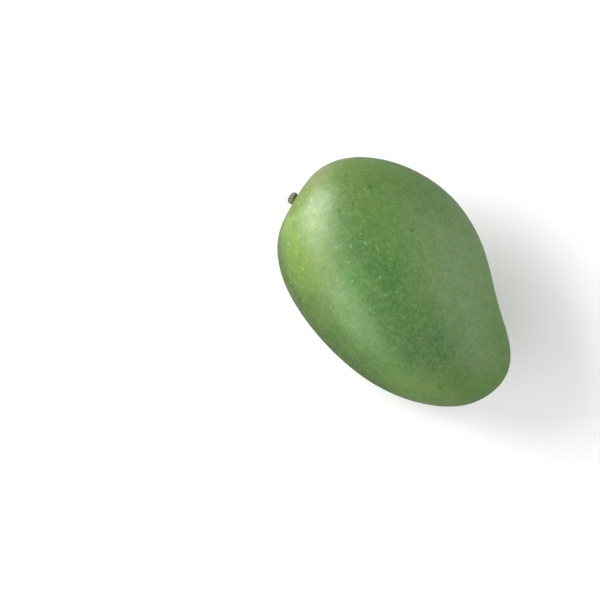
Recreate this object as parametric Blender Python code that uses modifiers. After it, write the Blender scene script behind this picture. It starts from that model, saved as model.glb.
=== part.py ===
"""A whole mango lying on one cheek: the fruit, and the stub of stalk left at its stem end.

Metres, +Z up. +X runs from the stem end to the tip and +Y points to the ventral side, where the
hollow above the beak is. The origin is the middle of the small flat spot that the fruit rests on.
"""

from math import cos, exp, pi, radians, sin, tan

import bmesh
import bpy
from mathutils import Matrix, Vector

MM = 0.001

# Driving sizes of the fruit before its swells: along its axis, across its broad face, and
# through its cheeks.
LENGTH = 130 * MM
WIDTH = 86 * MM
THICKNESS = 70 * MM

# How much wider and thicker the shoulders are than the middle. The tip is as much slimmer.
WIDTH_TAPER = 0.13
THICKNESS_TAPER = 0.10

# Directions from the middle of the fruit are (degrees from the stem end, degrees round the axis).
VENTRAL = 0
CHEEK = 90
DORSAL = 180
FAR_CHEEK = 270

STEM_AT = (24, 175)

# Each swell or hollow: its direction, its height, and how many degrees it spreads over.
SWELLS = {
    "flat cheek": ((90, CHEEK), -1.5 * MM, 45),
    "flat far cheek": ((90, FAR_CHEEK), -1.5 * MM, 45),
    "ventral shoulder": ((35, VENTRAL), -3.7 * MM, 32),
    "dorsal shoulder": ((48, DORSAL), 2.7 * MM, 32),
    "hollow above the beak": ((126, VENTRAL), -4.0 * MM, 24),
    "beak": ((145, VENTRAL), 5.5 * MM, 22),
    "dorsal side of the tip": ((154, DORSAL), -2.1 * MM, 28),
    "flat round the stalk": (STEM_AT, -2.4 * MM, 25),
    "dip round the stalk": (STEM_AT, -2.4 * MM, 14),
    "pit of the stalk": (STEM_AT, -0.7 * MM, 6),
}

# How the fruit lies: the fat stem end tips its axis down towards the tip, and the fuller
# dorsal shoulder rolls that side down.
REST_PITCH = radians(2.7)
REST_ROLL = radians(1.4)
FLAT_SPOT_DEPTH = 0.5 * MM

# Quads along each edge of the cube that the skin starts from.
SKIN_QUADS = 27

# The stub of stalk, a short domed button on a neck: millimetres across from its middle and up
# from the skin, down its outer side.
STUB_OUTLINE = [
    (0.0, 4.8),
    (1.2, 4.7),
    (2.1, 4.3),
    (2.7, 3.7),
    (2.9, 3.0),
    (2.8, 2.3),
    (2.4, 1.7),
    (2.2, 1.1),
    (2.3, 0.4),
    (2.6, -1.6),
    (0.0, -1.6),
]
STUB_STEPS = 32
GAP = 0.3 * MM

WELD = 0.01 * MM


def clear_scene():
    for obj in list(bpy.data.objects):
        bpy.data.objects.remove(obj, do_unlink=True)


def make_collection(name):
    collection = bpy.data.collections.new(name)
    bpy.context.scene.collection.children.link(collection)
    return collection


def make_material(name, colour, roughness):
    material = bpy.data.materials.new(name)
    material.use_nodes = True
    shader = material.node_tree.nodes["Principled BSDF"]
    shader.inputs["Base Color"].default_value = (*colour, 1.0)
    shader.inputs["Roughness"].default_value = roughness
    shader.inputs["Metallic"].default_value = 0.0
    return material


def add_object(name, mesh, material, collection):
    obj = bpy.data.objects.new(name, mesh)
    obj.data.materials.append(material)
    collection.objects.link(obj)
    return obj


def direction(from_stem, round_axis):
    """The unit vector this many degrees from the stem end and round the fruit's axis."""
    along = radians(from_stem)
    around = radians(round_axis)
    return Vector((-cos(along), sin(along) * cos(around), sin(along) * sin(around)))


def skin_point(way):
    """Where the skin is, seen from the middle of the fruit in the unit direction way."""
    point = Vector(
        (
            LENGTH / 2 * way.x,
            WIDTH / 2 * way.y * (1 - WIDTH_TAPER * way.x),
            THICKNESS / 2 * way.z * (1 - THICKNESS_TAPER * way.x),
        )
    )
    for (from_stem, round_axis), height, spread in SWELLS.values():
        apart = way.angle(direction(from_stem, round_axis), 0.0)
        point += height * exp(-((apart / radians(spread)) ** 2)) * way
    return point


def even_direction(corner):
    """A point of the cube from -1 to 1, as the direction that spaces its quads evenly."""
    return Vector([tan(value * pi / 4) for value in corner]).normalized()


def skin_mesh():
    """The skin as quads, from a cube whose points are moved out to the fruit's surface."""
    bm = bmesh.new()
    bmesh.ops.create_cube(bm, size=2.0)
    bmesh.ops.subdivide_edges(
        bm, edges=bm.edges[:], cuts=SKIN_QUADS - 1, use_grid_fill=True
    )
    for vert in bm.verts:
        vert.co = skin_point(even_direction(vert.co))
    return bm


def resting_place(bm):
    """The matrix that lays the skin on the floor, its flat spot's middle at the origin."""
    turn = Matrix.Rotation(REST_ROLL, 4, "X") @ Matrix.Rotation(REST_PITCH, 4, "Y")
    laid = [turn @ vert.co for vert in bm.verts]
    floor = min(point.z for point in laid) + FLAT_SPOT_DEPTH
    spot = [point for point in laid if point.z < floor]
    middle = sum(spot, Vector()) / len(spot)
    return Matrix.Translation((-middle.x, -middle.y, -floor)) @ turn


def make_fruit(material, collection):
    """The fruit as a mesh object, and the matrix that laid it on the floor."""
    bm = skin_mesh()
    place = resting_place(bm)
    bmesh.ops.transform(bm, matrix=place, verts=bm.verts[:])
    for vert in bm.verts:
        vert.co.z = max(vert.co.z, 0.0)
    bmesh.ops.recalc_face_normals(bm, faces=bm.faces[:])
    mesh = bpy.data.meshes.new("fruit")
    bm.to_mesh(mesh)
    bm.free()
    mesh.shade_smooth()
    return add_object("fruit", mesh, material, collection), place


def stem_matrix():
    """The stalk's place on the skin: its origin at the bottom of the pit, +Z outwards."""
    from_stem, round_axis = STEM_AT
    step = 2
    foot = skin_point(direction(from_stem, round_axis))
    along = skin_point(direction(from_stem + step, round_axis)) - foot
    back = skin_point(direction(from_stem - step, round_axis)) - foot
    left = skin_point(direction(from_stem, round_axis + step)) - foot
    right = skin_point(direction(from_stem, round_axis - step)) - foot
    outwards = (left - right).cross(along - back).normalized()
    return Matrix.Translation(foot) @ outwards.to_track_quat("Z", "X").to_matrix().to_4x4()


def make_cutter(fruit, collection):
    """The fruit grown by the gap, which cuts the root of the stub to fit the pit."""
    cutter = bpy.data.objects.new("fruit_and_gap", fruit.data.copy())
    collection.objects.link(cutter)
    grow = cutter.modifiers.new("Gap", "DISPLACE")
    grow.direction = "NORMAL"
    grow.mid_level = 0.0
    grow.strength = GAP
    cutter.hide_render = True
    cutter.display_type = "WIRE"
    return cutter


def make_stem(fruit, place, material, collection, cutters):
    """The stub of stalk: a turned outline, its root cut away by the fruit it stands on."""
    mesh = bpy.data.meshes.new("stem")
    outline = [(across * MM, 0.0, up * MM) for across, up in STUB_OUTLINE]
    edges = [(n, n + 1) for n in range(len(outline) - 1)]
    mesh.from_pydata(outline, edges, [])
    stem = add_object("stem", mesh, material, collection)
    stem.matrix_world = place @ stem_matrix()

    turned = stem.modifiers.new("Turned", "SCREW")
    turned.axis = "Z"
    turned.steps = STUB_STEPS
    turned.render_steps = STUB_STEPS
    turned.use_merge_vertices = True
    turned.merge_threshold = WELD
    turned.use_smooth_shade = True

    seat = stem.modifiers.new("Seat", "BOOLEAN")
    seat.operation = "DIFFERENCE"
    seat.solver = "EXACT"
    seat.object = make_cutter(fruit, cutters)
    return stem


def main():
    clear_scene()
    mango = make_collection("mango")
    cutters = make_collection("cutters")
    skin = make_material("mango skin", (0.16, 0.27, 0.07), 0.42)
    wood = make_material("stalk wood", (0.16, 0.15, 0.10), 0.8)
    fruit, place = make_fruit(skin, mango)
    make_stem(fruit, place, wood, mango, cutters)


main()
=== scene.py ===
from math import cos, exp, pi, radians, sin, tan

import bmesh
import bpy
from mathutils import Matrix, Quaternion, Vector, noise


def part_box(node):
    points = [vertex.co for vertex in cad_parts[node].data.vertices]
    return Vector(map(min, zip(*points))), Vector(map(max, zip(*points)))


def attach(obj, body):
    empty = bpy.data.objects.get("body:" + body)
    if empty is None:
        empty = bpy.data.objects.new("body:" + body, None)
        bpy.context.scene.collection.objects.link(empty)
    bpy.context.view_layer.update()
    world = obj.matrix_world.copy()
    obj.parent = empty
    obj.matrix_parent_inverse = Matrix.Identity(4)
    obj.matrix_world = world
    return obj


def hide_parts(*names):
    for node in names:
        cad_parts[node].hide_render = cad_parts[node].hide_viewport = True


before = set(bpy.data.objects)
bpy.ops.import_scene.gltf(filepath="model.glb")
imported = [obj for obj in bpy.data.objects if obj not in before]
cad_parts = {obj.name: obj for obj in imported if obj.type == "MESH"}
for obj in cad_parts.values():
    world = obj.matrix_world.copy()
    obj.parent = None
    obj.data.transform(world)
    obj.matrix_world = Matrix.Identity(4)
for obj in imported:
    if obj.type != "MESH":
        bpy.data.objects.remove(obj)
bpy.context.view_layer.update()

MM = 0.001

# The fruit before its swells, as in the solid that it stands for.
LENGTH = 130 * MM
WIDTH = 86 * MM
THICKNESS = 70 * MM
WIDTH_TAPER = 0.13
THICKNESS_TAPER = 0.10

# Directions from the middle of the fruit are (degrees from the stem end, degrees round the axis).
VENTRAL = 0
CHEEK = 90
DORSAL = 180
FAR_CHEEK = 270
STEM_AT = (24, 175)
STYLE_SCAR_AT = (157, -22)

# Each swell or hollow: its direction, its height, and how many degrees it spreads over.
SWELLS = {
    "flat cheek": ((90, CHEEK), -1.5 * MM, 45),
    "flat far cheek": ((90, FAR_CHEEK), -1.5 * MM, 45),
    "ventral shoulder": ((35, VENTRAL), -3.7 * MM, 32),
    "dorsal shoulder": ((48, DORSAL), 2.7 * MM, 32),
    "hollow above the beak": ((126, VENTRAL), -4.0 * MM, 24),
    "beak": ((145, VENTRAL), 5.5 * MM, 22),
    "dorsal side of the tip": ((154, DORSAL), -2.1 * MM, 28),
    "flat round the stalk": (STEM_AT, -2.4 * MM, 25),
    "dip round the stalk": (STEM_AT, -2.4 * MM, 14),
    "pit of the stalk": (STEM_AT, -0.7 * MM, 6),
    "pit of the style scar": (STYLE_SCAR_AT, -0.25 * MM, 2),
}
REST_PITCH = radians(2.7)
REST_ROLL = radians(1.4)
SKIN_QUADS = 88

# The skin's own unevenness: how wide its slow and fine waves are, and how high.
SLOW_WAVE_WIDTH = 27 * MM
SLOW_WAVE_HEIGHT = 0.28 * MM
FINE_WAVE_WIDTH = 8 * MM
FINE_WAVE_HEIGHT = 0.05 * MM

# The raised collar and the folds round the stalk: how far from its axis, how wide and how high.
# Both end within the reach from the axis and the depth below the pit.
COLLAR_RADIUS = 4.6 * MM
COLLAR_WIDTH = 1.5 * MM
COLLAR_HEIGHT = 0.50 * MM
FOLD_RADIUS = 5.5 * MM
FOLD_WIDTH = 3.2 * MM
FOLD_HEIGHT = 0.20 * MM
FOLD_SIZE = 2.4 * MM
COLLAR_REACH = 16 * MM
COLLAR_DEPTH = 8 * MM

# The stub of stalk: millimetres across from its middle and up from the skin, down its outer side.
STUB_OUTLINE = [
    (0.0, 4.5),
    (0.7, 4.55),
    (1.4, 4.65),
    (1.9, 4.5),
    (2.3, 4.15),
    (2.65, 3.7),
    (2.85, 3.2),
    (2.9, 2.8),
    (2.8, 2.3),
    (2.55, 1.8),
    (2.3, 1.4),
    (2.2, 1.0),
    (2.3, 0.5),
    (2.6, 0.0),
    (3.0, -0.5),
    (2.6, -1.2),
    (0.0, -1.4),
]
STUB_RADIUS = 2.9 * MM
STUB_STEPS = 56

# The bark of the stub: ridges down its side, knobs all over it, and its broken end.
RIDGES_ROUND = 3.2
RIDGE_LENGTH = 5 * MM
RIDGE_HEIGHT = 0.16 * MM
KNOB_SIZE = 1.1 * MM
KNOB_HEIGHT = 0.07 * MM
BROKEN_END_FROM = 3.5 * MM
BROKEN_END_HEIGHT = 0.16 * MM

# Colours are given as they look on a screen, from 0 to 255.
GROUND_GREEN = (72, 110, 40)
GROUND_PALER = (85, 119, 54)
GROUND_FRESHER = (72, 116, 50)
# The next colour is painted shade for the low dorsal flank.
FLANK_PAINTED_SHADE = (46, 62, 18)
STREAK_OLIVE = (110, 130, 16)
STALK_OLIVE = (88, 98, 32)
PORE_PALE = (158, 190, 126)
FINE_PORE_PALE = (128, 166, 110)
SPECK_DARK = (46, 62, 30)
MARK_DARK = (54, 74, 34)
BLEMISH_DARK = (50, 72, 36)
BARK_GREY = (84, 97, 70)
BARK_PALE = (154, 164, 138)
BARK_BLOTCH = (54, 72, 42)
# The next colour is painted shade round the stub's neck, where it meets the skin.
BARK_NECK_SHADE = (44, 48, 28)
BARK_RIM = (60, 74, 46)
FLOOR_TO_CAMERA = (240, 240, 238)
FLOOR_TO_GLOSS = (160, 160, 166)
FLOOR_TO_LIGHT = (146, 146, 143)

# Painted shade on the low dorsal flank, its colour darkened as if shadowed: the way it faces,
# how far that way it starts and is full, and how much rougher it is.
FLANK_WAY = (-0.05, -0.6, -0.8)
FLANK_STARTS = -25 * MM
FLANK_FULL = 3 * MM
FLANK_UNEVENNESS = 7 * MM
FLANK_ROUGHER = 0.12

# Soft patches of colour on the skin, some of them painted highlight, painted light or painted
# shade, as noted at each. +X is towards the tip, +Y ventral and +Z up. Each has its middle and
# its reach in millimetres, the softness of its edge, its strength and its colour. The first ones
# lie under the painted shade of the flank, and the others over it.
UNDER_PATCHES = {
    "olive top of the shoulder": ((-18, 9, 64), (34, 20, 20), 0.6, 0.7, (74, 100, 41)),
    "deep green along the middle": ((22, -12, 62), (38, 16, 30), 0.4, 0.95, (42, 97, 28)),
    "deep green behind the tip": ((44, -3, 54), (21, 16, 20), 0.6, 0.8, (54, 92, 42)),
    "deep green on the crown": ((-4, -1, 66), (13, 10, 10), 0.6, 0.5, (54, 104, 40)),
    "olive spot on the crown": ((16, -1, 65), (6, 5, 8), 0.6, 0.4, (112, 118, 62)),
    "dull green above the beak": ((54, 1, 49), (10, 16, 10), 0.6, 0.4, (64, 94, 42)),
    "bloom down the ventral side": ((14, 42, 44), (66, 34, 54), 0.6, 0.75, (97, 130, 76)),
    "bloom above the hollow": ((20, 33, 50), (24, 10, 14), 0.6, 0.35, (126, 156, 102)),
    # Yellow green colour and painted shade: this patch is also darkened as if shadowed.
    "yellow green with painted shade below the stalk": ((-34, -36, 44), (28, 22, 28), 0.6, 0.85, (106, 132, 40)),
    "yellow green at the stem end": ((-50, 8, 50), (12, 24, 14), 0.6, 0.5, (104, 124, 52)),
    "paler green round the tip": ((58, -10, 38), (18, 26, 14), 0.6, 0.6, (98, 128, 58)),
    "darkest green of the middle": ((25, -8, 60), (45, 11, 30), 0.6, 0.38, (31, 78, 16)),
    "light spot beside the middle": ((-1, -19, 63), (10, 6, 10), 0.6, 0.2, (104, 164, 84)),
    "light spot behind the tip": ((34, -24, 53), (9, 5, 8), 0.6, 0.2, (92, 150, 60)),
}
OVER_PATCHES = {
    # Painted highlight: a paler band where a highlight falls on the dorsal side.
    "painted highlight band on the dorsal side": ((8, -27, 59), (21, 6, 11), 0.6, 0.4, (140, 166, 116)),
    # Waxy bloom together with a painted sheen of light along the ventral edge.
    "grey bloom and painted rim sheen at the ventral edge": ((8, 46, 38), (66, 12, 30), 0.6, 0.55, (122, 142, 100)),
    # Painted light: paler where more light falls on the dorsal side of the tip.
    "painted light on the dorsal side of the tip": ((52, -20, 40), (17, 16, 12), 0.6, 0.5, (122, 150, 74)),
    # Painted highlight: paler where the highlight spreads over the shoulder.
    "painted highlight on the shoulder by the stalk": ((-42, -22, 54), (15, 15, 13), 0.6, 0.6, (138, 164, 96)),
    "buff stem end": ((-55, -8, 46), (7, 12, 13), 0.6, 0.6, (160, 150, 110)),
    "yellow green dorsal shoulder": ((-26, -30, 54), (15, 10, 12), 0.6, 0.5, (110, 138, 30)),
}

# The olive streak on the shoulder, and how far the olive round the stalk reaches.
STREAK_AT = (-49, -19, 51)
STREAK_REACH = (5, 8, 8)
STREAK_ROUGHER = 0.12
STALK_OLIVE_REACH = (13, 13, 13)

# Where the skin's shine differs: the middle, reach and edge of each place, and how much rougher
# it is there.
ROUGHER_PATCHES = {
    "bloom down the ventral side": ((8, 46, 40), (75, 36, 60), 0.6, 0.06),
    "dry dorsal side": ((30, -24, 56), (44, 28, 30), 0.6, 0.15),
    "glossier shoulder": ((-38, -15, 58), (20, 22, 22), 0.5, -0.05),
}

# Cloudiness over all the patches: its size in millimetres, detail, strength and colour.
FINE_CLOUDS = [
    (9.0, 2.0, 0.22, (102, 116, 56)),
    (5.0, 3.0, 0.34, (62, 108, 50)),
    (1.9, 3.0, 0.27, (116, 146, 84)),
    (1.3, 3.0, 0.23, (50, 80, 34)),
]

# Dots in the skin, in millimetres, and the share of them that there are.
PORES = {"spacing": 2.7, "width": 1.6, "share": 0.6}
FINE_PORES = {"spacing": 1.4, "width": 1.2, "share": 0.8}
SPECKS = {"spacing": 5.5, "width": 1.5, "share": 0.16}

# Small dark marks on the skin, in millimetres: where each is, and how far it reaches.
MARKS = [
    ((-34.2, 9.8, 63.0), 1.1),
    ((-31.2, -0.9, 64.7), 0.8),
    ((-32.1, -7.6, 63.8), 0.8),
    ((-45.6, 3.9, 58.8), 0.9),
    ((-6.7, 14.0, 65.7), 0.8),
    ((54.8, -11.1, 46.0), 0.8),
    ((20.0, 24.0, 8.0), 1.1),
    ((36.0, -30.0, 22.0), 0.9),
]

# The faint ring of an old blemish: its middle, and how far its outer and inner edges reach.
BLEMISH = (-12.9, 21.7, 63.0)
BLEMISH_OUTER = (2.3, 1.8, 4.0)
BLEMISH_INNER = (1.5, 1.1, 4.0)

# The grain of the peel, and the unevenness of a patch's edge, in waves to the metre.
PEEL_SCALE = 900.0
PATCH_EDGE_SCALE = 70.0

FLOOR_RADIUS = 0.95
FLOOR_SIDES = 96

# The camera's line of sight to the fruit, and where in the 600 pixel picture its middle falls.
FRUIT_MIDDLE = Vector((-0.2, 0.0, 33.1)) * MM
VIEW_AZIMUTH = radians(57.2)
VIEW_ELEVATION = radians(76.0)
VIEW_DISTANCE = 0.754
VIEW_PIXEL = (393.1, 278.2)
LENS = 100.0
SENSOR = 36.0
PICTURE = 600


# The shape of the fruit


def direction(from_stem, round_axis):
    """The unit vector this many degrees from the stem end and round the fruit's axis."""
    along = radians(from_stem)
    around = radians(round_axis)
    return Vector((-cos(along), sin(along) * cos(around), sin(along) * sin(around)))


SWELL_LIST = [(direction(*at), height, radians(width)) for at, height, width in SWELLS.values()]


def skin_point(way):
    """Where the skin is, seen from the middle of the fruit in the unit direction way."""
    point = Vector(
        (
            LENGTH / 2 * way.x,
            WIDTH / 2 * way.y * (1 - WIDTH_TAPER * way.x),
            THICKNESS / 2 * way.z * (1 - THICKNESS_TAPER * way.x),
        )
    )
    for middle, height, width in SWELL_LIST:
        apart = way.angle(middle, 0.0)
        if apart < 4 * width:
            point += height * exp(-((apart / width) ** 2)) * way
    return point


def stem_matrix():
    """The stalk's place on the skin: its origin at the bottom of the pit, +Z outwards."""
    from_stem, round_axis = STEM_AT
    step = 2
    foot = skin_point(direction(from_stem, round_axis))
    along = skin_point(direction(from_stem + step, round_axis)) - foot
    back = skin_point(direction(from_stem - step, round_axis)) - foot
    left = skin_point(direction(from_stem, round_axis + step)) - foot
    right = skin_point(direction(from_stem, round_axis - step)) - foot
    outwards = (left - right).cross(along - back).normalized()
    return Matrix.Translation(foot) @ outwards.to_track_quat("Z", "X").to_matrix().to_4x4()


def hump(value, middle, width):
    """A smooth hump, 1 at its middle."""
    return exp(-(((value - middle) / width) ** 2))


def skin_relief(point, to_stem):
    """How far the real skin stands off its even shape there: waves, and folds at the stalk."""
    slow = noise.noise(point / SLOW_WAVE_WIDTH + Vector((3.1, 0.4, 7.7)))
    fine = noise.noise(point / FINE_WAVE_WIDTH + Vector((11.3, 5.2, 1.9)))
    height = SLOW_WAVE_HEIGHT * slow + FINE_WAVE_HEIGHT * fine
    local = to_stem @ point
    off_axis = local.to_2d().length
    if local.z > -COLLAR_DEPTH and off_axis < COLLAR_REACH:
        flat = Vector((local.x, local.y, 0.0))
        turn = noise.noise(flat / FOLD_SIZE + Vector((0.0, 0.0, 4.0)))
        height += COLLAR_HEIGHT * hump(off_axis, COLLAR_RADIUS, COLLAR_WIDTH)
        height += FOLD_HEIGHT * hump(off_axis, FOLD_RADIUS, FOLD_WIDTH) * turn
    return height


def resting_place(bm):
    """The matrix that turns the fruit as it rests and brings it to the box of its solid."""
    turn = Matrix.Rotation(REST_ROLL, 4, "X") @ Matrix.Rotation(REST_PITCH, 4, "Y")
    laid = [turn @ vert.co for vert in bm.verts]
    low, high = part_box("fruit")
    shift = Vector(
        (
            (low.x + high.x) / 2 - (max(p.x for p in laid) + min(p.x for p in laid)) / 2,
            (low.y + high.y) / 2 - (max(p.y for p in laid) + min(p.y for p in laid)) / 2,
            high.z - max(p.z for p in laid),
        )
    )
    return Matrix.Translation(shift) @ turn


def even_direction(corner):
    """A point of the cube from -1 to 1, as the direction that spaces its quads evenly."""
    return Vector([tan(value * pi / 4) for value in corner]).normalized()


def sort_by_place(bm):
    """Numbers points and faces by where they are, because a spin's order changes each run."""
    for elements, place in (
        (bm.verts, lambda vert: vert.co),
        (bm.faces, lambda face: face.calc_center_median()),
    ):
        ordered = sorted(elements, key=lambda element: place(element).to_tuple(8))
        for index, element in enumerate(ordered):
            element.index = index
        elements.sort()


def finish_piece(name, bm, material, node):
    """Makes the mesh an object that stands for a CAD node and rides on the fruit's body."""
    bmesh.ops.recalc_face_normals(bm, faces=bm.faces[:])
    mesh = bpy.data.meshes.new(name)
    bm.to_mesh(mesh)
    bm.free()
    mesh.shade_smooth()
    mesh.materials.append(material)
    piece = bpy.data.objects.new(name, mesh)
    bpy.context.scene.collection.objects.link(piece)
    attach(piece, "root")
    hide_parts(node)


def make_fruit(material):
    """The whole fruit in fine quads. Gives the matrix that laid it on the floor."""
    bm = bmesh.new()
    bmesh.ops.create_cube(bm, size=2.0)
    bmesh.ops.subdivide_edges(bm, edges=bm.edges[:], cuts=SKIN_QUADS - 1, use_grid_fill=True)
    to_stem = stem_matrix().inverted()
    for vert in bm.verts:
        way = even_direction(vert.co)
        point = skin_point(way)
        vert.co = point + skin_relief(point, to_stem) * way
    place = resting_place(bm)
    bmesh.ops.transform(bm, matrix=place, verts=bm.verts[:])
    for vert in bm.verts:
        vert.co.z = max(vert.co.z, 0.0)
    finish_piece("mango_fruit", bm, material, "fruit")
    return place


def roughen_bark(vert):
    """Moves a point of the turned stub by the ridges and knobs of its bark."""
    flat = Vector((vert.co.x, vert.co.y, 0.0))
    if flat.length < 0.01 * MM:
        return
    out = flat.normalized()
    ridge_at = Vector((out.x * RIDGES_ROUND, out.y * RIDGES_ROUND, vert.co.z / RIDGE_LENGTH))
    ridge = noise.noise(ridge_at)
    knob = noise.noise(vert.co / KNOB_SIZE + Vector((5.0, 0.0, 0.0)))
    share = flat.length / STUB_RADIUS
    vert.co += out * (RIDGE_HEIGHT * ridge + KNOB_HEIGHT * knob) * share
    if vert.co.z > BROKEN_END_FROM:
        vert.co.z += BROKEN_END_HEIGHT * knob


def make_stub(place, material):
    """The woody stub of stalk: a turned button with ridges down its side and a sunk end."""
    bm = bmesh.new()
    outline = [bm.verts.new((across * MM, 0.0, up * MM)) for across, up in STUB_OUTLINE]
    edges = [bm.edges.new(pair) for pair in zip(outline, outline[1:])]
    bmesh.ops.spin(
        bm,
        geom=outline + edges,
        cent=(0, 0, 0),
        axis=(0, 0, 1),
        angle=2 * pi,
        steps=STUB_STEPS,
        use_merge=True,
    )
    bmesh.ops.remove_doubles(bm, verts=bm.verts[:], dist=0.001 * MM)
    sort_by_place(bm)
    height = bm.verts.layers.float.new("height")
    for vert in bm.verts:
        vert[height] = vert.co.z / MM
        roughen_bark(vert)
    bmesh.ops.transform(bm, matrix=place @ stem_matrix(), verts=bm.verts[:])
    finish_piece("mango_stalk_stub", bm, material, "stem")


# Shader nodes


def linear_part(value):
    if value > 0.04045:
        return ((value + 0.055) / 1.055) ** 2.4
    return value / 12.92


def linear(red, green, blue):
    """A colour given as it looks on a screen, 0 to 255, in the linear values a shader takes."""
    return [linear_part(value / 255) for value in (red, green, blue)] + [1.0]


def add_node(tree, kind, inputs=None, **settings):
    """A node with its settings, and its inputs set to a value or joined to another's output."""
    node = tree.nodes.new(kind)
    for name, value in settings.items():
        setattr(node, name, value)
    for name, value in (inputs or {}).items():
        if isinstance(value, bpy.types.NodeSocket):
            tree.links.new(value, node.inputs[name])
        else:
            node.inputs[name].default_value = value
    return node


def maths(tree, operation, first, second=0.0, third=0.0):
    inputs = {0: first, 1: second, 2: third}
    return add_node(tree, "ShaderNodeMath", inputs, operation=operation).outputs[0]


def vector_maths(tree, operation, first, second=(0, 0, 0)):
    inputs = {0: first, 1: second}
    return add_node(tree, "ShaderNodeVectorMath", inputs, operation=operation).outputs


def mix(tree, share, under, over):
    """The colour under, with this share of the colour over."""
    inputs = {0: share, 6: under, 7: over}
    return add_node(tree, "ShaderNodeMix", inputs, data_type="RGBA").outputs[2]


def spread(tree, value, low, high, to_low=0.0, to_high=1.0):
    """The value brought from low..high to to_low..to_high along a soft curve."""
    inputs = {0: value, 1: low, 2: high, 3: to_low, 4: to_high}
    node = add_node(tree, "ShaderNodeMapRange", inputs, interpolation_type="SMOOTHSTEP")
    return node.outputs[0]


def new_group(name, numbers, vectors=()):
    """A shader node group that turns a place and these inputs into one mask."""
    group = bpy.data.node_groups.new(name, "ShaderNodeTree")
    for socket in ("Vector", *vectors):
        group.interface.new_socket(socket, in_out="INPUT", socket_type="NodeSocketVector")
    for socket in numbers:
        group.interface.new_socket(socket, in_out="INPUT", socket_type="NodeSocketFloat")
    group.interface.new_socket("Mask", in_out="OUTPUT", socket_type="NodeSocketFloat")
    into = group.nodes.new("NodeGroupInput").outputs
    out = group.nodes.new("NodeGroupOutput").inputs
    return group, into, out


def cloudy_group():
    """Slow and fine unevenness in a surface, from 0 to 1."""
    group, into, out = new_group("cloudy", ["Size", "Detail"])
    inputs = {
        "Vector": into["Vector"],
        "Scale": maths(group, "DIVIDE", 1.0, into["Size"]),
        "Detail": into["Detail"],
        "Roughness": 0.6,
    }
    clouds = add_node(group, "ShaderNodeTexNoise", inputs)
    group.links.new(spread(group, clouds.outputs[0], 0.32, 0.68), out["Mask"])
    return group


def patch_group():
    """A soft patch round a place on the surface, its edge made uneven."""
    group, into, out = new_group("soft patch", ["Softness", "Unevenness"], ["Middle", "Reach"])
    off = vector_maths(group, "SUBTRACT", into["Vector"], into["Middle"])[0]
    shares = vector_maths(group, "DIVIDE", off, into["Reach"])[0]
    away = vector_maths(group, "LENGTH", shares)["Value"]
    inputs = {"Vector": into["Vector"], "Scale": PATCH_EDGE_SCALE, "Detail": 3.0}
    wave = add_node(group, "ShaderNodeTexNoise", inputs).outputs[0]
    wave = maths(group, "SUBTRACT", wave, 0.5)
    edge = maths(group, "ADD", away, maths(group, "MULTIPLY", wave, into["Unevenness"]))
    outside = maths(group, "ADD", 1.0, into["Softness"])
    inside = maths(group, "SUBTRACT", 1.0, into["Softness"])
    group.links.new(spread(group, edge, outside, inside), out["Mask"])
    return group


def dots_group():
    """Small round dots: how far apart, how wide, and what share of them there are."""
    group, into, out = new_group("dots", ["Spacing", "Width", "Share"])
    scale = maths(group, "DIVIDE", 1.0, into["Spacing"])
    inputs = {"Vector": into["Vector"], "Scale": scale}
    cells = add_node(group, "ShaderNodeTexVoronoi", inputs).outputs
    away = maths(group, "MULTIPLY", cells["Distance"], into["Spacing"])
    chance = add_node(group, "ShaderNodeSeparateColor", {0: cells["Color"]}).outputs
    radius = maths(group, "MULTIPLY", into["Width"], 0.5)
    wide = maths(group, "MULTIPLY", radius, spread(group, chance[1], 0.0, 1.0, 0.6, 1.3))
    dot = spread(group, away, wide, maths(group, "MULTIPLY", wide, 0.2))
    there = maths(group, "LESS_THAN", chance[0], into["Share"])
    group.links.new(maths(group, "MULTIPLY", dot, there), out["Mask"])
    return group


class Patterns:
    """The patterns that one material is made of, each a mask from 0 to 1, sized in mm."""

    def __init__(self, tree, groups):
        self.tree = tree
        self.groups = groups
        self.place = add_node(tree, "ShaderNodeTexCoord").outputs["Object"]

    def mask(self, kind, **values):
        inputs = {"Vector": self.place, **values}
        node = add_node(self.tree, "ShaderNodeGroup", inputs, node_tree=self.groups[kind])
        return node.outputs["Mask"]

    def cloud(self, size, detail=3.0):
        return self.mask("cloudy", Size=size * MM, Detail=detail)

    def patch(self, middle, reach, softness=0.5, unevenness=0.5):
        return self.mask(
            "patch",
            Middle=[value * MM for value in middle],
            Reach=[value * MM for value in reach],
            Softness=softness,
            Unevenness=unevenness,
        )

    def dots(self, spacing, width, share):
        return self.mask("dots", Spacing=spacing * MM, Width=width * MM, Share=share)

    def tint(self, under, colour, mask, strength):
        """The colour under, brought towards this one where the mask is."""
        share = maths(self.tree, "MULTIPLY", mask, strength)
        return mix(self.tree, share, under, linear(*colour))


def new_material(name):
    """A material, its node tree and the inputs of its shader."""
    material = bpy.data.materials.new(name)
    material.use_nodes = True
    tree = material.node_tree
    return material, tree, tree.nodes["Principled BSDF"].inputs


def add_bump(tree, shader, height, strength, distance):
    inputs = {"Strength": strength, "Distance": distance, "Height": height}
    bump = add_node(tree, "ShaderNodeBump", inputs)
    tree.links.new(bump.outputs["Normal"], shader["Normal"])


# The skin


def painted_shade_mask(skin):
    """Where the painted shade lies on the low dorsal flank, with an uneven upper edge."""
    lower = vector_maths(skin.tree, "DOT_PRODUCT", skin.place, FLANK_WAY)["Value"]
    uneven = maths(skin.tree, "MULTIPLY", skin.cloud(13), FLANK_UNEVENNESS)
    lower = maths(skin.tree, "ADD", lower, uneven)
    return spread(skin.tree, lower, FLANK_STARTS, FLANK_FULL)


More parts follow.
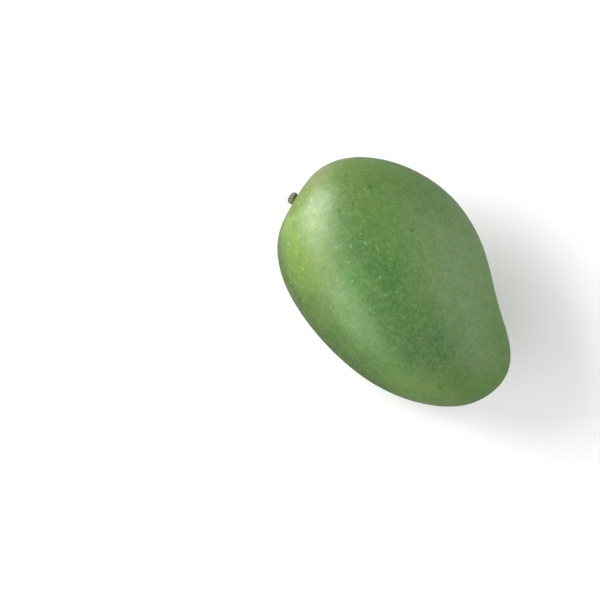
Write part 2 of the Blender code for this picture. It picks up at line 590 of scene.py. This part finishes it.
def pore_masks(skin):
    """The pores, clearer near the stalk and on the dorsal side, and fine ones between them."""
    tree = skin.tree
    along, across = add_node(tree, "ShaderNodeSeparateXYZ", {0: skin.place}).outputs[:2]
    near_stem = spread(tree, along, 30 * MM, -30 * MM)
    dorsal = spread(tree, across, 12 * MM, -14 * MM, 0.25, 1.0)
    clear = spread(tree, near_stem, 0.0, 1.0, 0.11, 0.34)
    pores = maths(tree, "MULTIPLY", skin.dots(**PORES), clear)
    pores = maths(tree, "MULTIPLY", pores, dorsal)
    fine_clear = spread(tree, along, -60 * MM, 0.0, 0.08, 0.15)
    fine_pores = maths(tree, "MULTIPLY", skin.dots(**FINE_PORES), fine_clear)
    return pores, fine_pores


def add_patches(skin, green, patches):
    for middle, reach, softness, strength, colour in patches.values():
        green = skin.tint(green, colour, skin.patch(middle, reach, softness), strength)
    return green


def add_marks(skin, green):
    """Dark specks, the clearest dark marks, and the faint ring of an old blemish."""
    green = skin.tint(green, SPECK_DARK, skin.dots(**SPECKS), 0.5)
    for middle, reach in MARKS:
        mark = skin.patch(middle, (reach, reach, 2 * reach), 0.5, 0.0)
        green = skin.tint(green, MARK_DARK, mark, 0.5)
    outer = skin.patch(BLEMISH, BLEMISH_OUTER, 0.3)
    inner = skin.patch(BLEMISH, BLEMISH_INNER, 0.3)
    ring = maths(skin.tree, "MAXIMUM", maths(skin.tree, "SUBTRACT", outer, inner), 0.0)
    return skin.tint(green, BLEMISH_DARK, ring, 0.32)


def skin_colour(skin, stem, flank, streak):
    """Cloudy greens with soft patches (some painted highlight, painted light or painted shade),
    painted shade on the flank, and more olive by the stalk.
    """
    by_stalk = skin.patch(stem, STALK_OLIVE_REACH, 0.6, 0.8)
    green = mix(skin.tree, skin.cloud(15), linear(*GROUND_GREEN), linear(*GROUND_PALER))
    green = skin.tint(green, GROUND_FRESHER, skin.cloud(40, 2.0), 0.5)
    green = add_patches(skin, green, UNDER_PATCHES)
    # Painted shade: the low dorsal flank is darkened as if shadowed.
    green = skin.tint(green, FLANK_PAINTED_SHADE, flank, 0.88)
    green = add_patches(skin, green, OVER_PATCHES)
    green = skin.tint(green, STREAK_OLIVE, streak, 0.9)
    green = skin.tint(green, STALK_OLIVE, by_stalk, 0.8)
    for size, detail, strength, colour in FINE_CLOUDS:
        green = skin.tint(green, colour, skin.cloud(size, detail), strength)
    return green


def skin_roughness(skin, flank, streak):
    """A satin finish, duller under the bloom and on the flank, glossier on the shoulder."""
    rough = spread(skin.tree, skin.cloud(6, 4.0), 0.0, 1.0, 0.38, 0.48)
    changes = [(flank, FLANK_ROUGHER), (streak, STREAK_ROUGHER)]
    for middle, reach, softness, amount in ROUGHER_PATCHES.values():
        changes.append((skin.patch(middle, reach, softness), amount))
    for mask, amount in changes:
        rough = maths(skin.tree, "ADD", rough, maths(skin.tree, "MULTIPLY", mask, amount))
    return rough


def skin_material(groups, stem):
    """Green skin: cloudy greens, a yellower shoulder, waxy bloom, pale pores and dark specks,
    with painted highlights, painted light and painted shade.
    """
    material, tree, shader = new_material("mango skin")
    skin = Patterns(tree, groups)
    flank = painted_shade_mask(skin)
    streak = skin.patch(STREAK_AT, STREAK_REACH, 0.5, 0.9)
    pores, fine_pores = pore_masks(skin)

    green = skin_colour(skin, stem, flank, streak)
    green = mix(tree, pores, green, linear(*PORE_PALE))
    green = mix(tree, fine_pores, green, linear(*FINE_PORE_PALE))
    tree.links.new(add_marks(skin, green), shader["Base Color"])
    tree.links.new(skin_roughness(skin, flank, streak), shader["Roughness"])
    shader["Specular IOR Level"].default_value = 0.45

    inputs = {"Vector": skin.place, "Scale": PEEL_SCALE, "Detail": 3.0}
    height = add_node(tree, "ShaderNodeTexNoise", inputs).outputs[0]
    for mask, amount in ((pores, 0.9), (skin.cloud(2.6, 2.0), 0.7)):
        height = maths(tree, "ADD", height, maths(tree, "MULTIPLY", mask, amount))
    add_bump(tree, shader, height, 0.35, 0.06 * MM)
    return material


def stalk_material(groups):
    """Grey-green bark of the stub, with painted shade round its neck and darker along the rim of
    its end.
    """
    material, tree, shader = new_material("stalk bark")
    wood = Patterns(tree, groups)
    up = add_node(tree, "ShaderNodeAttribute", attribute_name="height").outputs["Fac"]
    grain = wood.cloud(1.3, 4.0)
    blotch = wood.cloud(0.8)
    neck = spread(tree, up, 2.3, 1.2, 0.0, 0.8)
    rim = maths(tree, "MULTIPLY", spread(tree, up, 3.3, 3.9), spread(tree, up, 4.6, 4.2))
    bark = mix(tree, grain, linear(*BARK_GREY), linear(*BARK_PALE))
    bark = wood.tint(bark, BARK_BLOTCH, blotch, 0.55)
    # Painted shade round the neck of the stub.
    bark = mix(tree, neck, bark, linear(*BARK_NECK_SHADE))
    bark = wood.tint(bark, BARK_RIM, rim, 0.5)
    tree.links.new(bark, shader["Base Color"])
    shader["Roughness"].default_value = 0.72
    height = maths(tree, "ADD", grain, maths(tree, "MULTIPLY", blotch, 0.6))
    add_bump(tree, shader, height, 0.7, 0.15 * MM)
    return material


# Floor, light and camera


def make_floor():
    """A pale floor, near white to the camera and greyer in the light that it throws back."""
    bm = bmesh.new()
    bmesh.ops.create_circle(bm, cap_ends=True, radius=FLOOR_RADIUS, segments=FLOOR_SIDES)
    mesh = bpy.data.meshes.new("floor")
    bm.to_mesh(mesh)
    bm.free()
    material, tree, shader = new_material("pale floor")
    rays = tree.nodes.new("ShaderNodeLightPath").outputs
    glossy, seen = rays["Is Glossy Ray"], rays["Is Camera Ray"]
    pale = mix(tree, glossy, linear(*FLOOR_TO_LIGHT), linear(*FLOOR_TO_GLOSS))
    pale = mix(tree, seen, pale, linear(*FLOOR_TO_CAMERA))
    tree.links.new(pale, shader["Base Color"])
    shader["Roughness"].default_value = 0.85
    shader["Specular IOR Level"].default_value = 0.2
    mesh.materials.append(material)
    floor = bpy.data.objects.new("floor", mesh)
    bpy.context.scene.collection.objects.link(floor)


def make_softbox(name, azimuth, elevation, distance, size, power, roll=0):
    """A softbox that faces the fruit. Azimuth 0 stands on the -Y side, and 90 on +X."""
    around = radians(azimuth)
    up = radians(elevation)
    way = Vector((sin(around) * cos(up), -cos(around) * cos(up), sin(up)))
    rolled = Quaternion((0, 0, 1), radians(roll))
    light = bpy.data.lights.new(name, "AREA")
    light.shape = "RECTANGLE"
    light.size, light.size_y = size
    light.energy = power
    softbox = bpy.data.objects.new(name, light)
    softbox.location = FRUIT_MIDDLE + distance * way
    softbox.rotation_mode = "QUATERNION"
    softbox.rotation_quaternion = (-way).to_track_quat("-Z", "Y") @ rolled
    softbox.visible_camera = False
    bpy.context.scene.collection.objects.link(softbox)


def make_lights():
    make_softbox("key", -61, 27, distance=0.9, size=(0.95, 0.5), power=14.0, roll=36)
    make_softbox("front", 16, 27, distance=0.85, size=(1.1, 0.36), power=5.4)
    make_softbox("back", 148, 36, distance=1.2, size=(2.1, 1.3), power=17.5)


def make_backdrop():
    """A faint even light from all round, seen by the camera as a pale backdrop."""
    world = bpy.data.worlds.new("studio")
    world.use_nodes = True
    tree = world.node_tree
    backdrop = tree.nodes["Background"].inputs
    backdrop["Color"].default_value = (0.95, 0.98, 1.0, 1.0)
    seen = tree.nodes.new("ShaderNodeLightPath").outputs["Is Camera Ray"]
    tree.links.new(maths(tree, "MULTIPLY_ADD", seen, 0.73, 0.17), backdrop["Strength"])
    bpy.context.scene.world = world
    bpy.context.scene.view_settings.view_transform = "Standard"


def make_camera():
    """Stands on the line of sight to the fruit and turns until it falls at its pixel."""
    a, e = VIEW_AZIMUTH, VIEW_ELEVATION
    across = Vector((cos(a), sin(a), 0.0))
    forward = Vector((-sin(a) * cos(e), cos(a) * cos(e), -sin(e)))
    up = across.cross(forward)
    per_pixel = SENSOR / LENS / PICTURE
    aim = forward - across * (VIEW_PIXEL[0] - PICTURE / 2) * per_pixel
    aim = aim - up * (PICTURE / 2 - VIEW_PIXEL[1]) * per_pixel
    aim.normalize()
    side = (across - aim * across.dot(aim)).normalized()
    top = side.cross(aim)
    turn = Matrix((side, top, -aim)).transposed().to_4x4()
    camera = bpy.data.objects.new("camera", bpy.data.cameras.new("camera"))
    camera.matrix_world = Matrix.Translation(FRUIT_MIDDLE - forward * VIEW_DISTANCE) @ turn
    camera.data.lens = LENS
    camera.data.sensor_width = SENSOR
    bpy.context.scene.collection.objects.link(camera)
    bpy.context.scene.camera = camera


def main():
    groups = {"cloudy": cloudy_group(), "patch": patch_group(), "dots": dots_group()}
    low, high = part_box("stem")
    stem = [value / MM for value in (low + high) / 2]
    place = make_fruit(skin_material(groups, stem))
    make_stub(place, stalk_material(groups))
    make_floor()
    make_lights()
    make_backdrop()
    make_camera()


main()
